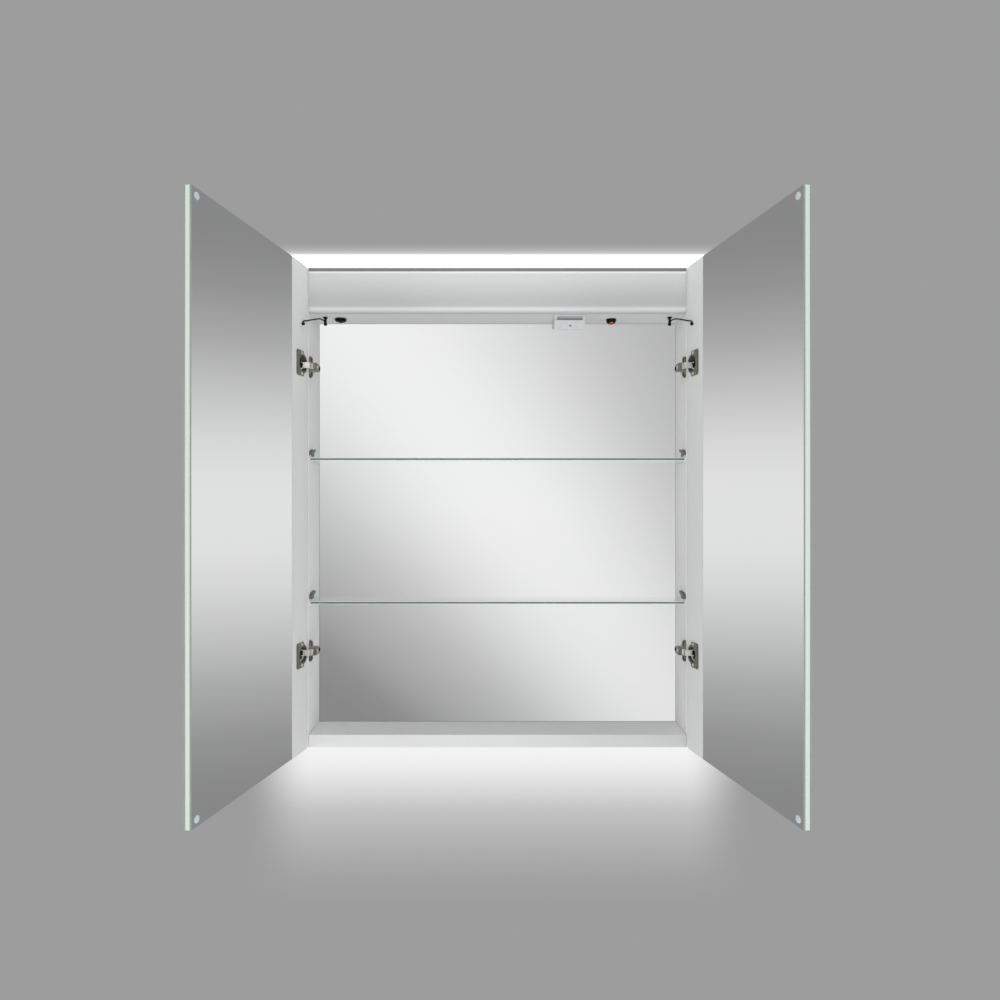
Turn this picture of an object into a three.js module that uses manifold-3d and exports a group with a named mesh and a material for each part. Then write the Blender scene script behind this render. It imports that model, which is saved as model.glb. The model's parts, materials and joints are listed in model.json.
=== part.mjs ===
// A two-door mirror cabinet with lighting, hung on a wall, both doors standing open.
// Millimetres. +Z is up, +Y points into the wall, and the front faces -Y.
// The origin is the centre of the back face, so the body is z -360..360 and y -108..0.
import * as THREE from 'three';
import { mergeVertices } from 'three/addons/utils/BufferGeometryUtils.js';
import Module from 'manifold-3d';

const wasm = await Module();
wasm.setup();

// ---------------------------------------------------------------- driving dimensions
const GAP = 0.3; // left between pieces that touch

const WIDTH = 600;
const HEIGHT = 720;
const DEPTH = 108;
const BOARD = 16;
const BOTTOM_BOARD = 19;
const REAR_PANEL = 4;
const WIRING_VOID = 24;
const CARRIER_BOARD = 6;
const BACK_MIRROR = 4;

const HEAD_DROP = 67.3; // from the top of the body down to the ceiling of the storage space
const FASCIA_TOP_SLOT = 5.6; // dark slot between the fascia and the light above it
const FASCIA_THICK = 10;
const FASCIA_SET_BACK = 0.8; // the flat face sits this far behind its two beads
const TOP_BEAD = 2.7;
const ROLL_HEIGHT = 8.8; // the rounded lower edge of the fascia
const CEILING_THICK = 3;

const TOP_LIGHT_HEIGHT = 19;
const TOP_LIGHT_DEPTH = 49;
const TOP_LIGHT_OVERHANG = 11; // past each side of the body
const OPAL_WALL = 2.5;
const CHANNEL_WALL = 1.5;
const CHANNEL_LIP = 8;
const LED_BOARD = 1.6;
const BOTTOM_GROOVE = { front: -74, back: -34, depth: 13 };

const DOOR_WIDTH = 298;
const DOOR_GLASS = 2;
const DOOR_THICK = 10;
const DOOR_STRIP = 52; // plain strip beside the hinges, not mirrored
const DOOR_GAP = 2.5; // between a closed door and the body
const OPEN_ANGLE = THREE.MathUtils.degToRad(101);
const DOOR_CORNER = 4; // rounds the inner corner that swings past the side panel
const PIVOT_U = 7.5; // pivot from the door's hinge end

const HINGE_HEIGHTS = [212, -216.5];
const CUP = { u: 18.3, radius: 13, wall: 0.8, depth: 7.7, slotStart: 3, slotHalf: 5 };
const CUP_PLATE = { radius: 14.4, start: 16, end: 38, half: 18.5, thick: 1 };
const ARM = { tip: 1.4, outer: 7.2, inner: 3.7, half: 4, thick: 3.7, reach: 30 };
const ARM_BODY = { front: 4, half: 5.8, thick: 9.7 };
const PLATE = { thick: 2.7, half: 5, wingHalf: 16, wingFront: 5, wingDepth: 12 };

const SHELF_HEIGHTS = { upper: 73, lower: -143.8 };
const SHELF_THICK = 4;
const SHELF = { half: 282, front: -102, back: -40 };
const SUPPORT = { wide: 4, web: 1.4, lip: 1.6, front: -104, back: -48 };
// The clamp above the glass, as distances behind the support's front and above the glass.
const CLAMP = [[0, 3.6], [26, 10.6], [26, 13.9], [7, 12.4], [0, 9]];
const CLAMP_POST = [14, 26];

const SOCKET = { x: 109.75, wide: 46.9, front: -98, back: -42, rim: 8, holeHalf: 20, wall: 4 };
const PLUG_RECESS = { radius: 18, depth: 14, pinRadius: 2.5, pinSpacing: 19, pinDepth: 12 };
const FLAP = { thick: 1.6, hingeInset: 1.6, lip: 14.5 };

const DIMMER = { x: -243, y: -70.5, stem: 5.5 };
const MOTION = { x: 176.6, y: -67, stem: 4.6 };
const LENS = { radius: 3.6, forward: 2.6, drop: 5.4 }; // a ball set low in the housing's front
const HOLE_CLEARANCE = 0.5;

const LEAD_GLAND = { x: 264.5, y: -80.5, stem: 2.4, low: 279.4 };
const GROMMET = { u: 19.7, z: 270.6, stem: 1.7, ball: 2.6 };
const LEAD_RADIUS = 1;
const BUMPER = { u: 289, z: 350.6, radius: 4.5, high: 2 };

const DRIVER = { left: -120, right: 40, front: -84, back: -46, high: 21, chamfer: [3, 4] };
const HANGER = { x: 262, half: 15, low: 302, high: 340, hookHalf: 6, windowHalf: 14 };
const MAINS_GLAND = { x: 60, z: 318, radius: 7, bore: 4 };

// ---------------------------------------------------------------- derived places
const halfWidth = WIDTH / 2;
const halfHeight = HEIGHT / 2;
const inner = halfWidth - BOARD; // inner faces of the side panels
const span = inner - GAP; // half length of what fits between them
const frontY = -DEPTH;
const doorY = frontY - DOOR_GAP; // inner face of a closed door
const ceilingZ = halfHeight - HEAD_DROP;
const floorZ = BOTTOM_BOARD - halfHeight;
const carrierBack = -REAR_PANEL - WIRING_VOID;
const carrierFront = carrierBack - CARRIER_BOARD;
const mirrorFront = carrierFront - BACK_MIRROR;
const fasciaBack = frontY + FASCIA_THICK;
const topPanelZ = halfHeight - BOARD;
const pivotW = PIVOT_U / Math.tan(OPEN_ANGLE / 2); // pivot from the door's inner face

// ---------------------------------------------------------------- colours and finishes
const FINISHES = {
  board: [0xdedfe0, 0.45, 0],
  aluminium: [0xc4c7c9, 0.35, 0.9],
  mirror: [0xd4d8d8, 0.05, 1],
  glass: [0x9fc2b2, 0.05, 0],
  opal: [0xffffff, 0.5, 0],
  led: [0xf4f1de, 0.5, 0],
  nickel: [0xa7a598, 0.3, 1],
  black: [0x141414, 0.45, 0],
  darkGrey: [0x6c6d6d, 0.5, 0.2],
  hardboard: [0xcfcfcd, 0.8, 0],
  plastic: [0xd6d7d7, 0.4, 0],
  clear: [0xc9cbcb, 0.3, 0],
  red: [0xb52018, 0.15, 0],
};

const cabinet = new THREE.Group();

function add(name, geometry, finish, parent = cabinet) {
  const [color, roughness, metalness] = FINISHES[finish];
  const mesh = new THREE.Mesh(
    geometry,
    new THREE.MeshStandardMaterial({ color, roughness, metalness }),
  );
  mesh.name = name;
  parent.add(mesh);
  return mesh;
}

// ---------------------------------------------------------------- shape helpers
function box([x0, x1], [y0, y1], [z0, z1]) {
  const geometry = new THREE.BoxGeometry(Math.abs(x1 - x0), Math.abs(y1 - y0), Math.abs(z1 - z0));
  return geometry.translate((x0 + x1) / 2, (y0 + y1) / 2, (z0 + z1) / 2);
}

// An outline in x and y, raised from one height to another.
function raised(shape, z0, z1, curveSegments = 10) {
  const geometry = new THREE.ExtrudeGeometry(shape, {
    depth: z1 - z0,
    bevelEnabled: false,
    curveSegments,
  });
  return geometry.translate(0, 0, z0);
}

// An outline in y and z, drawn out along x.
function drawnAlongX(outline, x0, x1) {
  const shape = Array.isArray(outline) ? polygon(outline) : outline;
  const geometry = raised(shape, 0, x1 - x0);
  return geometry.rotateX(Math.PI / 2).rotateZ(Math.PI / 2).translate(x0, 0, 0);
}

function polygon(points) {
  return new THREE.Shape(points.map(([x, y]) => new THREE.Vector2(x, y)));
}

function rectangle(x0, x1, y0, y1) {
  return polygon([[x0, y0], [x1, y0], [x1, y1], [x0, y1]]);
}

function roundHole(x, y, radius) {
  return new THREE.Path().absarc(x, y, radius, 0, 2 * Math.PI, true);
}

// A turned shape about a vertical axis, from radius and height pairs.
function turned(profile, x, y, segments = 20) {
  const points = profile.map(([radius, z]) => new THREE.Vector2(radius, z));
  const geometry = new THREE.LatheGeometry(points, segments);
  return geometry.rotateX(Math.PI / 2).translate(x, y, 0);
}

function cylinderZ(x, y, radius, z0, z1, segments = 32) {
  const geometry = new THREE.CylinderGeometry(radius, radius, z1 - z0, segments);
  return geometry.rotateX(Math.PI / 2).translate(x, y, (z0 + z1) / 2);
}

function toSolid(geometry) {
  const bare = geometry.clone();
  bare.deleteAttribute('normal');
  bare.deleteAttribute('uv');
  const merged = mergeVertices(bare, 1e-4);
  const mesh = new wasm.Mesh({
    numProp: 3,
    vertProperties: merged.attributes.position.array,
    triVerts: new Uint32Array(merged.index.array),
  });
  return new wasm.Manifold(mesh);
}

function toGeometry(solid) {
  const mesh = solid.getMesh();
  const geometry = new THREE.BufferGeometry();
  geometry.setAttribute('position', new THREE.BufferAttribute(mesh.vertProperties, 3));
  geometry.setIndex(new THREE.BufferAttribute(mesh.triVerts, 1));
  return geometry;
}

function cut(base, ...tools) {
  return toGeometry(tools.reduce((solid, tool) => solid.subtract(toSolid(tool)), toSolid(base)));
}

function join(base, ...others) {
  return toGeometry(others.reduce((solid, other) => solid.add(toSolid(other)), toSolid(base)));
}

// ---------------------------------------------------------------- body
function buildBody() {
  for (const [side, sign] of [['left', -1], ['right', 1]]) {
    const faces = [sign * inner, sign * halfWidth];
    add(`${side}_side_panel`, box(faces, [frontY, 0], [-halfHeight, halfHeight]), 'board');
  }
  const topFront = fasciaBack + GAP;
  add('top_panel', box([-span, span], [topFront, 0], [topPanelZ, halfHeight]), 'board');

  const { front, back, depth } = BOTTOM_GROOVE;
  const grooveTop = depth - halfHeight;
  const bottomOutline = [
    [frontY, -halfHeight], [front, -halfHeight], [front, grooveTop], [back, grooveTop],
    [back, -halfHeight], [0, -halfHeight], [0, floorZ], [frontY, floorZ],
  ];
  add('bottom_panel', drawnAlongX(bottomOutline, -span, span), 'board');
}

function buildRear() {
  const low = floorZ + GAP;
  const rear = box([-span, span], [-REAR_PANEL, 0], [low, topPanelZ - GAP]);
  const windows = [-1, 1].map((sign) => box(
    [sign * HANGER.x - HANGER.windowHalf, sign * HANGER.x + HANGER.windowHalf],
    [-REAR_PANEL - 1, 1],
    [HANGER.low + 2, HANGER.high],
  ));
  const inlet = cylinderZ(0, 0, MAINS_GLAND.radius, -REAR_PANEL - 1, REAR_PANEL + 1)
    .rotateX(Math.PI / 2).translate(MAINS_GLAND.x, 0, MAINS_GLAND.z);
  add('rear_panel', cut(rear, ...windows, inlet), 'hardboard');

  const mirrorTop = ceilingZ - GAP;
  add('mirror_carrier_board',
    box([-span, span], [carrierFront, carrierBack], [low, mirrorTop]), 'hardboard');
  add('back_mirror',
    box([-span, span], [mirrorFront, carrierFront - GAP], [low, mirrorTop]), 'mirror');
}

function buildHangers() {
  const bodyFront = -REAR_PANEL - 20;
  for (const [side, sign] of [['left', -1], ['right', 1]]) {
    const x = sign * HANGER.x;
    const block = box([x - HANGER.half, x + HANGER.half],
      [bodyFront, -REAR_PANEL - GAP], [HANGER.low, HANGER.high]);
    const neck = box([x - HANGER.hookHalf, x + HANGER.hookHalf],
      [-REAR_PANEL - 1, -1], [HANGER.high - 14, HANGER.high - 4]);
    const hook = box([x - HANGER.hookHalf, x + HANGER.hookHalf],
      [-2.5, -1], [HANGER.high - 24, HANGER.high - 4]);
    add(`${side}_hanging_bracket`, join(block, neck, hook), 'nickel');
  }
}

function buildMainsGland() {
  const { radius, bore, x, z } = MAINS_GLAND;
  const stem = radius - HOLE_CLEARANCE;
  const seat = -REAR_PANEL - GAP;
  const nose = -REAR_PANEL - 12;
  const profile = [
    [bore, nose], [radius - 1, nose], [radius + 3, -REAR_PANEL - 4], [radius + 3, seat],
    [stem, seat], [stem, -0.5], [bore, -0.5], [bore, nose],
  ];
  const geometry = turned(profile, 0, 0, 24).rotateX(-Math.PI / 2).translate(x, 0, z);
  add('mains_inlet_gland', geometry, 'black');
}

// ---------------------------------------------------------------- head of the cabinet
function buildFascia() {
  const face = frontY + FASCIA_SET_BACK;
  const top = halfHeight - FASCIA_TOP_SLOT;
  const rollRadius = ROLL_HEIGHT / 2;
  const outline = new THREE.Shape();
  outline.moveTo(frontY, top);
  outline.lineTo(frontY, top - TOP_BEAD);
  outline.lineTo(face, top - TOP_BEAD);
  const meeting = Math.acos(FASCIA_SET_BACK / rollRadius - 1); // where the roll meets the face
  outline.absarc(frontY + rollRadius, ceilingZ + rollRadius, rollRadius,
    meeting, 1.5 * Math.PI, false);
  outline.lineTo(fasciaBack, ceilingZ);
  outline.lineTo(fasciaBack, top);
  add('head_fascia', drawnAlongX(outline, -span, span), 'board');
}

function buildCeiling() {
  const plate = rectangle(-span, span, fasciaBack + GAP, -REAR_PANEL - GAP);
  plate.holes.push(
    roundHole(DIMMER.x, DIMMER.y, DIMMER.stem + HOLE_CLEARANCE),
    roundHole(MOTION.x, MOTION.y, MOTION.stem + HOLE_CLEARANCE),
    roundHole(-LEAD_GLAND.x, LEAD_GLAND.y, LEAD_GLAND.stem + HOLE_CLEARANCE),
    roundHole(LEAD_GLAND.x, LEAD_GLAND.y, LEAD_GLAND.stem + HOLE_CLEARANCE),
    rectangle(SOCKET.x - SOCKET.holeHalf, SOCKET.x + SOCKET.holeHalf,
      SOCKET.front + SOCKET.wall, SOCKET.back - SOCKET.wall),
  );
  add('head_ceiling', raised(plate, ceilingZ, ceilingZ + CEILING_THICK), 'board');
}

function buildSensors() {
  const seat = ceilingZ - GAP;
  const stemTop = ceilingZ + 14;
  add('dimmer_sensor', turned([
    [0, seat - 6.6], [1.8, seat - 6.3], [2.6, seat - 5.4], [6.6, seat - 4.7], [9, seat - 2.8],
    [9, seat], [DIMMER.stem, seat], [DIMMER.stem, stemTop], [0, stemTop],
  ], DIMMER.x, DIMMER.y), 'black');
  const housing = turned([
    [0, seat - 7.2], [4.2, seat - 7.2], [6.4, seat - 5.6], [7.8, seat - 3], [7.8, seat],
    [MOTION.stem, seat], [MOTION.stem, stemTop], [0, stemTop],
  ], MOTION.x, MOTION.y);
  const ball = (radius) => new THREE.SphereGeometry(radius, 20, 14)
    .translate(MOTION.x, MOTION.y - LENS.forward, seat - LENS.drop);
  add('motion_sensor_housing', cut(housing, ball(LENS.radius + GAP)), 'black');
  add('motion_sensor_lens', ball(LENS.radius), 'red');
}

function buildSocket() {
  const half = SOCKET.wide / 2;
  const { x, front, back, wall, holeHalf } = SOCKET;
  const rimTop = ceilingZ - GAP;
  const rimLow = rimTop - SOCKET.rim;
  const rim = box([x - half, x + half], [front, back], [rimLow, rimTop]);
  const hole = box([x - holeHalf, x + holeHalf], [front + wall, back - wall],
    [rimLow - 1, rimTop + 1]);
  const fingerSlot = box([x - holeHalf + 0.5, x + holeHalf - 0.5],
    [front - 1, front + wall + 1], [rimLow - 1, rimTop - 2.7]);
  add('socket_housing', cut(rim, hole, fingerSlot), 'plastic');

  const clear = 0.4;
  const insertLow = rimLow + 4;
  const middleY = (front + back) / 2;
  const recessTop = insertLow + PLUG_RECESS.depth;
  const insert = box([x - holeHalf + clear, x + holeHalf - clear],
    [front + wall + clear, back - wall - clear], [insertLow, ceilingZ + 29]);
  const recess = cylinderZ(x, middleY, PLUG_RECESS.radius, insertLow - 1, recessTop);
  const pins = [-1, 1].map((sign) => cylinderZ(x + sign * PLUG_RECESS.pinSpacing / 2, middleY,
    PLUG_RECESS.pinRadius, recessTop - 1, recessTop + PLUG_RECESS.pinDepth, 16));
  add('socket_insert', cut(insert, recess, ...pins), 'plastic');

  const flapTop = rimLow - 0.5;
  const flapFront = front + GAP;
  const flapBack = back - FLAP.hingeInset + FLAP.thick / 2;
  const flap = [
    [flapFront, flapTop - FLAP.lip], [flapFront + FLAP.thick, flapTop - FLAP.lip],
    [flapFront + FLAP.thick, flapTop - FLAP.thick], [flapBack, flapTop - FLAP.thick],
    [flapBack, flapTop], [flapFront, flapTop],
  ];
  add('socket_flap', drawnAlongX(flap, x - half + GAP, x + half - GAP), 'plastic');
}

function buildDriver() {
  const { left, right, front, back, chamfer } = DRIVER;
  const low = ceilingZ + CEILING_THICK + GAP;
  const high = low + DRIVER.high;
  const outline = [
    [front, low], [back, low], [back, high - chamfer[1]], [back - chamfer[0], high],
    [front + chamfer[0], high], [front, high - chamfer[1]],
  ];
  add('led_driver', drawnAlongX(outline, left, right), 'plastic');
}

// ---------------------------------------------------------------- lighting
function buildTopLight() {
  const low = halfHeight + GAP;
  const high = halfHeight + TOP_LIGHT_HEIGHT;
  const back = frontY + TOP_LIGHT_DEPTH;
  const half = halfWidth + TOP_LIGHT_OVERHANG;
  const cover = box([-half, half], [frontY, back], [low, high]);
  const hollow = box([-half + OPAL_WALL, half - OPAL_WALL],
    [frontY + OPAL_WALL, back - OPAL_WALL], [low - 1, high - OPAL_WALL]);
  add('top_light_diffuser', cut(cover, hollow), 'opal');

  const wall = CHANNEL_WALL;
  const y0 = frontY + OPAL_WALL + GAP;
  const y1 = back - OPAL_WALL - GAP;
  const channelHalf = half - OPAL_WALL - GAP;
  add('top_light_channel', drawnAlongX([
    [y0, low], [y1, low], [y1, low + CHANNEL_LIP], [y1 - wall, low + CHANNEL_LIP],
    [y1 - wall, low + wall], [y0 + wall, low + wall], [y0 + wall, low + CHANNEL_LIP],
    [y0, low + CHANNEL_LIP],
  ], -channelHalf, channelHalf), 'aluminium');
  const boardLow = low + wall + GAP;
  add('top_led_board', box([2 - channelHalf, channelHalf - 2], [-90, -77],
    [boardLow, boardLow + LED_BOARD]), 'led');
}

function buildBottomLight() {
  const y0 = BOTTOM_GROOVE.front + GAP;
  const y1 = BOTTOM_GROOVE.back - GAP;
  const top = BOTTOM_GROOVE.depth - halfHeight - GAP;
  const wall = CHANNEL_WALL;
  add('bottom_light_channel', drawnAlongX([
    [y0, -halfHeight], [y0 + wall, -halfHeight], [y0 + wall, top - wall],
    [y1 - wall, top - wall], [y1 - wall, -halfHeight], [y1, -halfHeight], [y1, top], [y0, top],
  ], -span, span), 'aluminium');
  const boardTop = top - wall - GAP;
  add('bottom_led_board', box([2 - span, span - 2], [-60, -48],
    [boardTop - LED_BOARD, boardTop]), 'led');
  add('bottom_light_diffuser', box([-span, span], [y0 + wall + GAP, y1 - wall - GAP],
    [-halfHeight, OPAL_WALL - halfHeight]), 'opal');
}

// ---------------------------------------------------------------- shelves
function buildShelf(level, height) {
  const top = height + SHELF_THICK / 2;
  const low = height - SHELF_THICK / 2;
  add(`${level}_shelf`,
    box([-SHELF.half, SHELF.half], [SHELF.front, SHELF.back], [low, top]), 'glass');

  const { front, back } = SUPPORT;
  const clampSide = CLAMP.map(([behind, above]) => [front + behind, top + GAP + above]);
  const lipLow = low - GAP - SUPPORT.lip;
  for (const [side, sign] of [['left', -1], ['right', 1]]) {
    const outer = sign * span;
    const tip = sign * (span - SUPPORT.wide);
    const web = sign * (span - SUPPORT.web);
    const clamp = drawnAlongX(clampSide, Math.min(outer, tip), Math.max(outer, tip));
    const spine = box([outer, web], [front + 2, back], [lipLow, top + 1]);
    const post = box([outer, web], CLAMP_POST.map((behind) => front + behind),
      [top, top + CLAMP[1][1]]);
    const lip = box([outer, tip], [front + 2, back], [lipLow, low - GAP]);
    add(`${side}_${level}_shelf_support`, join(clamp, post, spine, lip), 'darkGrey');
  }
}

// ---------------------------------------------------------------- doors
// A door is made in a group of its own: x runs from its hinge end (along -x on the right door),
// and its inner face is y = 0 with the thickness behind it, at negative y.
function buildDoor(side, sign) {
  const door = new THREE.Group();
  door.position.set(sign * inner, doorY, 0);
  door.rotation.z = sign * OPEN_ANGLE;
  cabinet.add(door);
  const along = -sign;
  const slab = (u0, u1, w0, w1, z0 = -halfHeight, z1 = halfHeight) => box(
    [along * u0, along * u1], [-w0, -w1], [z0, z1]);

  const glassBack = DOOR_THICK - DOOR_GLASS;
  add(`${side}_door_outer_mirror`, slab(0, DOOR_WIDTH, glassBack, DOOR_THICK), 'mirror', door);
  add(`${side}_door_inner_mirror`,
    slab(DOOR_STRIP + GAP, DOOR_WIDTH, 0, DOOR_GLASS), 'mirror', door);
  add(`${side}_door_panel`, doorPanel(along, slab), 'board', door);

  for (const [index, level] of ['upper', 'lower'].entries()) {
    const z = HINGE_HEIGHTS[index];
    add(`${side}_${level}_hinge_cup`, hingeCup(along, z, slab), 'nickel', door);
    const bumper = turned([[0, 0], [BUMPER.radius, 0], [BUMPER.radius, 0.9],
      [BUMPER.radius - 1, BUMPER.high - 0.3], [0, BUMPER.high]], 0, 0, 24);
    bumper.rotateX(-Math.PI / 2).translate(along * BUMPER.u, GAP, Math.sign(z) * BUMPER.z);
    add(`${side}_${level}_door_bumper`, bumper, 'clear', door);
  }

  const { stem, ball } = GROMMET;
  const grommet = turned([[0, -3], [stem, -3], [stem, GAP], [ball - 0.5, GAP], [ball, 1.9],
    [ball - 0.3, 3.3], [stem, 4.1], [0, 4.5]], 0, 0, 16);
  grommet.rotateX(-Math.PI / 2).translate(along * GROMMET.u, 0, GROMMET.z);
  add(`${side}_door_lead_grommet`, grommet, 'black', door);
}

// The core, with a raised strip beside the hinges and pockets for the hinge cups.
function doorPanel(along, slab) {
  const glassBack = DOOR_THICK - DOOR_GLASS - GAP;
  const outline = new THREE.Shape();
  outline.moveTo(0, DOOR_CORNER);
  outline.absarc(DOOR_CORNER, DOOR_CORNER, DOOR_CORNER, Math.PI, 1.5 * Math.PI, false);
  outline.lineTo(DOOR_STRIP, 0);
  outline.lineTo(DOOR_STRIP, DOOR_GLASS + GAP);
  outline.lineTo(DOOR_WIDTH, DOOR_GLASS + GAP);
  outline.lineTo(DOOR_WIDTH, glassBack);
  outline.lineTo(0, glassBack);
  const places = outline.getPoints(6).map((point) => [along * point.x, -point.y]);
  const panel = raised(polygon(places), -halfHeight, halfHeight);
  const tools = HINGE_HEIGHTS.flatMap((z) => [
    cupCylinder(along, z, CUP.radius + GAP, -1, DOOR_THICK),
    slab(CUP.slotStart - 0.4, CUP.u, -1, DOOR_THICK,
      z - CUP.slotHalf - GAP, z + CUP.slotHalf + GAP),
  ]);
  const leadHole = cylinderZ(0, 0, GROMMET.stem + GAP, -DOOR_THICK, DOOR_THICK, 16)
    .rotateX(Math.PI / 2).translate(along * GROMMET.u, 0, GROMMET.z);
  return cut(panel, ...tools, leadHole);
}

function cupCylinder(along, z, radius, w0, w1, segments = 32) {
  return cylinderZ(0, 0, radius, w0, w1, segments).rotateX(Math.PI / 2)
    .translate(along * CUP.u, 0, z);
}

// An open ring with a screw plate, slotted at the hinge end for the arm to swing in.
function hingeCup(along, z, slab) {
  const { radius, start, end, half, thick } = CUP_PLATE;
  const face = -GAP - thick;
  const shell = cupCylinder(along, z, CUP.radius, -GAP, CUP.depth);
  const plate = cupCylinder(along, z, radius, face, -GAP);
  const wings = slab(start, end, face, -GAP, z - half, z + half);
  const ring = join(shell, plate, wings);
  const bore = cupCylinder(along, z, CUP.radius - CUP.wall, face - 1, DOOR_THICK);
  const slot = slab(CUP.slotStart - 2, CUP.u, face - 1, DOOR_THICK,
    z - CUP.slotHalf, z + CUP.slotHalf);
  return cut(ring, bore, slot);
}

// ---------------------------------------------------------------- hinge arms and plates
function buildHingeArm(side, sign, level, z) {
  const pivotX = sign * (inner + PIVOT_U);
  const pivotY = doorY - pivotW;
  const plateOuter = sign * (inner - GAP);
  const plateInner = sign * (inner - GAP - PLATE.thick);
  const armOuter = sign * (inner - 2 * GAP - PLATE.thick);
  const armInner = armOuter - sign * ARM.thick;
  const front = doorY - ARM.outer;
  const rear = doorY + ARM.reach;

  const leg = box([pivotX, armInner], [front, doorY - ARM.inner], [z - ARM.half, z + ARM.half]);
  const tip = cylinderZ(pivotX, pivotY, ARM.tip, z - ARM.half, z + ARM.half, 16);
  const neck = box([armOuter, armInner], [front, rear], [z - ARM.half, z + ARM.half]);
  const body = box([armOuter, armOuter - sign * ARM_BODY.thick], [doorY + ARM_BODY.front, rear],
    [z - ARM_BODY.half, z + ARM_BODY.half]);
  add(`${side}_${level}_hinge_arm`, join(leg, tip, neck, body), 'nickel');

  const wingFront = doorY + PLATE.wingFront;
  const wingBack = wingFront + PLATE.wingDepth;
  const plate = [
    [wingFront, z - PLATE.wingHalf], [wingBack, z - PLATE.wingHalf], [wingBack, z - PLATE.half],
    [rear, z - PLATE.half], [rear, z + PLATE.half], [wingBack, z + PLATE.half],
    [wingBack, z + PLATE.wingHalf], [wingFront, z + PLATE.wingHalf],
  ];
  add(`${side}_${level}_hinge_plate`, drawnAlongX(plate,
    Math.min(plateOuter, plateInner), Math.max(plateOuter, plateInner)), 'nickel');
}

// ---------------------------------------------------------------- door leads
// The lead from the head to each door, at its real length, from the gland to the grommet.
const LEAD_ROUTE = [
  [-265.5, -82.6, 285.6],
  [-266.5, -84.8, 286.6],
  [-267.8, -87.6, 287.1],
  [-269.5, -91.4, 287],
  [-271.4, -95.6, 286.2],
  [-273.3, -100.2, 284.8],
  [-275.2, -104.8, 283.2],
  [-277, -109.4, 281.6],
  [-278.8, -113.8, 280],
  [-280.5, -117.8, 278.5],
  [-282.1, -121.6, 277.1],
  [-283.5, -124.8, 276],
  [-284.6, -127.4, 275.4],
  [-285.3, -128.9, 274.8],
  [-285.7, -129.9, 274.1],
];

function buildLead(side, sign) {
  const { x, y, stem, low } = LEAD_GLAND;
  const seat = ceilingZ - GAP;
  add(`${side}_lead_gland`, turned([
    [0, low], [1.8, low], [2.6, low + 1], [2.6, low + 3], [1.9, low + 4], [1.9, seat - 3],
    [3.3, seat - 2], [3.3, seat], [stem, seat], [stem, ceilingZ + 8], [0, ceilingZ + 8],
  ], sign * x, y, 16), 'black');

  const sides = 8;
  const section = polygon(Array.from({ length: sides }, (_, index) => {
    const angle = 2 * Math.PI * index / sides;
    return [LEAD_RADIUS * Math.cos(angle), LEAD_RADIUS * Math.sin(angle)];
  }));
  const route = LEAD_ROUTE.map(([px, py, pz]) => new THREE.Vector3(-sign * px, py, pz));
  const extrudePath = new THREE.CatmullRomCurve3(route);
  add(`${side}_door_lead`,
    new THREE.ExtrudeGeometry(section, { steps: 24, extrudePath, bevelEnabled: false }), 'black');
}

buildBody();
buildRear();
buildHangers();
buildMainsGland();
buildFascia();
buildCeiling();
buildSensors();
buildSocket();
buildDriver();
buildTopLight();
buildBottomLight();
for (const [level, height] of Object.entries(SHELF_HEIGHTS)) {
  buildShelf(level, height);
}
for (const [side, sign] of [['left', -1], ['right', 1]]) {
  buildDoor(side, sign);
  buildHingeArm(side, sign, 'upper', HINGE_HEIGHTS[0]);
  buildHingeArm(side, sign, 'lower', HINGE_HEIGHTS[1]);
  buildLead(side, sign);
}

export default cabinet;
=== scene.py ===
"""Looks of the wall-hung mirror cabinet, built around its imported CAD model. Metres, +Z up, front at -Y."""
import json
import math

import bmesh
import bpy
from mathutils import Matrix, Vector
from mathutils.geometry import tessellate_polygon

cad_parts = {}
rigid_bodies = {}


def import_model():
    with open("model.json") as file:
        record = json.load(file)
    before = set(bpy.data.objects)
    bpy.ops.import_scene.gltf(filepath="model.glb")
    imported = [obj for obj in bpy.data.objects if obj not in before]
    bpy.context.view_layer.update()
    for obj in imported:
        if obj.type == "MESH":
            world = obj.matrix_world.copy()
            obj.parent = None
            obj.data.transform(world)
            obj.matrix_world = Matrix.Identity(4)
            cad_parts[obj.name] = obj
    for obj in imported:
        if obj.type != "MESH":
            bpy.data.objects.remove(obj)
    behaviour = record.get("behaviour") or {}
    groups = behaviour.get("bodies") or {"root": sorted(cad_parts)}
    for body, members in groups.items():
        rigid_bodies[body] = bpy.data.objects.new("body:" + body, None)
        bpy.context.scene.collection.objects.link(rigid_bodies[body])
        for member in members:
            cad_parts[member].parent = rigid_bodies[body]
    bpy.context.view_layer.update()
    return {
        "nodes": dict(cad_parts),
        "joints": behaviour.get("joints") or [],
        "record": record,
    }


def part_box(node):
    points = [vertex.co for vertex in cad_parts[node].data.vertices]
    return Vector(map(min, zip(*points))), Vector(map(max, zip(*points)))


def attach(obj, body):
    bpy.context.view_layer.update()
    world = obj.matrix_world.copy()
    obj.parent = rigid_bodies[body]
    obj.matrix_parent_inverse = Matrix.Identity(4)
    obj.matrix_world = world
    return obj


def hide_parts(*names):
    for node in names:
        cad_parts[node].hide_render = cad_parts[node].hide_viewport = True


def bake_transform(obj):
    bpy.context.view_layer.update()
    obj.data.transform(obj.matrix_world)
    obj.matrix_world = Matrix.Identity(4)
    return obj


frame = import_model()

MM = 0.001
SIDES = ("left", "right")
LEVELS = ("upper", "lower")
PLATED = "nickel_plated_steel"
NODES = frame["nodes"]
SLOT_OF = {entry["node"]: entry["material_slot"] for entry in frame["record"]["subparts"]}
BODY_OF = {
    node: body
    for body, members in frame["record"]["behaviour"]["bodies"].items()
    for node in members
}

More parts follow.
